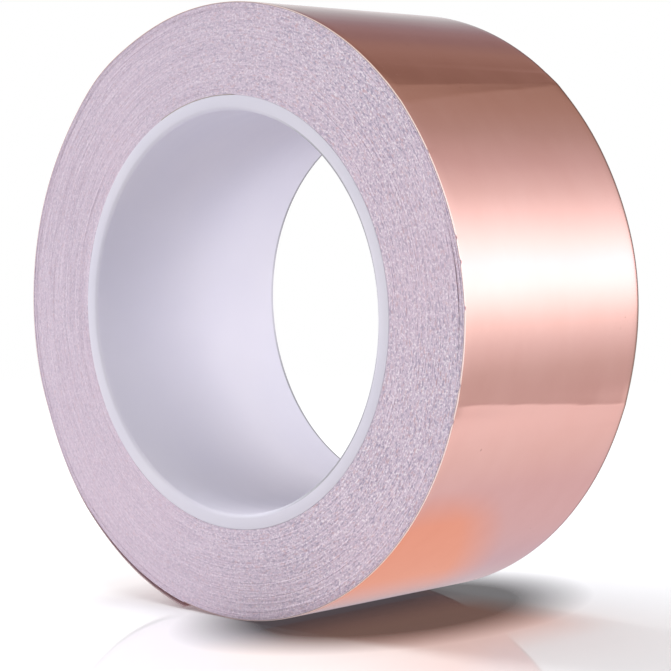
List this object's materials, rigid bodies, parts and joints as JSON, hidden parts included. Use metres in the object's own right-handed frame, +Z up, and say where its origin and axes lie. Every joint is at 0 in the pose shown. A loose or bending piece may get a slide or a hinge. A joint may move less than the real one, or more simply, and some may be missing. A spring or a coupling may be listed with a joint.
{
  "type": "copper foil tape roll",
  "caption": "Roll of copper foil tape on a plastic core, standing on its rim; its free end bends off the roll and the copper peels from its release liner.",
  "frame": {"origin": "on the ground under the middle of the roll, at the centre of the bounding box's base", "axes": "+Z up; the roll's axis runs along Y, with the face seen in the usual view towards -Y; the tape's free end comes down the -X side and stops just short of the lowest point"},
  "size_m": [0.1166, 0.05, 0.1163],
  "materials": {
    "core_plastic": "smooth, slightly milky injection-moulded or extruded plastic",
    "starter_tape": "matt paper tape",
    "wound_edge": "slit edges of many turns of liner, adhesive and copper, matt and finely lined",
    "copper_foil": "bright rolled copper foil, smooth with faint rolling lines along the tape",
    "adhesive": "thin clear acrylic adhesive",
    "release_liner": "smooth siliconised release paper, faintly pink"
  },
  "bodies": {
    "roll": {"core_tube": "core_plastic", "core_starter_strip": "starter_tape", "wound_pack": "wound_edge", "loose_turns": "wound_edge", "outer_turn_foil": "copper_foil", "outer_turn_adhesive": "adhesive", "outer_turn_liner": "release_liner"},
    "tail_1": {"tail_1_foil": "copper_foil", "tail_1_adhesive": "adhesive", "tail_1_liner": "release_liner"},
    "tail_2": {"tail_2_foil": "copper_foil", "tail_2_adhesive": "adhesive", "tail_2_liner": "release_liner"},
    "tail_3": {"tail_3_foil": "copper_foil", "tail_3_adhesive": "adhesive", "tail_3_liner": "release_liner"},
    "tail_4": {"tail_4_foil": "copper_foil", "tail_4_adhesive": "adhesive", "tail_4_liner": "release_liner"},
    "peel_end": {"peel_end_foil": "copper_foil", "peel_end_adhesive": "adhesive"}
  },
  "joints": [
    {"name": "tail_bend_1", "type": "hinge", "parent": "roll", "child": "tail_1", "pos_m": [-0.0482, 0, 0.02532], "axis": [0, 1, 0], "range_deg": [0, 46]},
    {"name": "tail_bend_2", "type": "hinge", "parent": "tail_1", "child": "tail_2", "pos_m": [-0.04135, 0, 0.01673], "axis": [0, 1, 0], "range_deg": [0, 46]},
    {"name": "tail_bend_3", "type": "hinge", "parent": "tail_2", "child": "tail_3", "pos_m": [-0.03299, 0, 0.00954], "axis": [0, 1, 0], "range_deg": [0, 46]},
    {"name": "tail_bend_4", "type": "hinge", "parent": "tail_3", "child": "tail_4", "pos_m": [-0.02339, 0, 0.00403], "axis": [0, 1, 0], "range_deg": [0, 46]},
    {"name": "foil_peel", "type": "hinge", "parent": "tail_4", "child": "peel_end", "pos_m": [-0.01997, 0, 0.0026], "axis": [0, 1, 0], "range_deg": [0, 150]}
  ],
  "couplings": [
    {"joint": "tail_bend_2", "follows": "tail_bend_1", "ratio": 1},
    {"joint": "tail_bend_3", "follows": "tail_bend_1", "ratio": 1},
    {"joint": "tail_bend_4", "follows": "tail_bend_1", "ratio": 1}
  ]
}
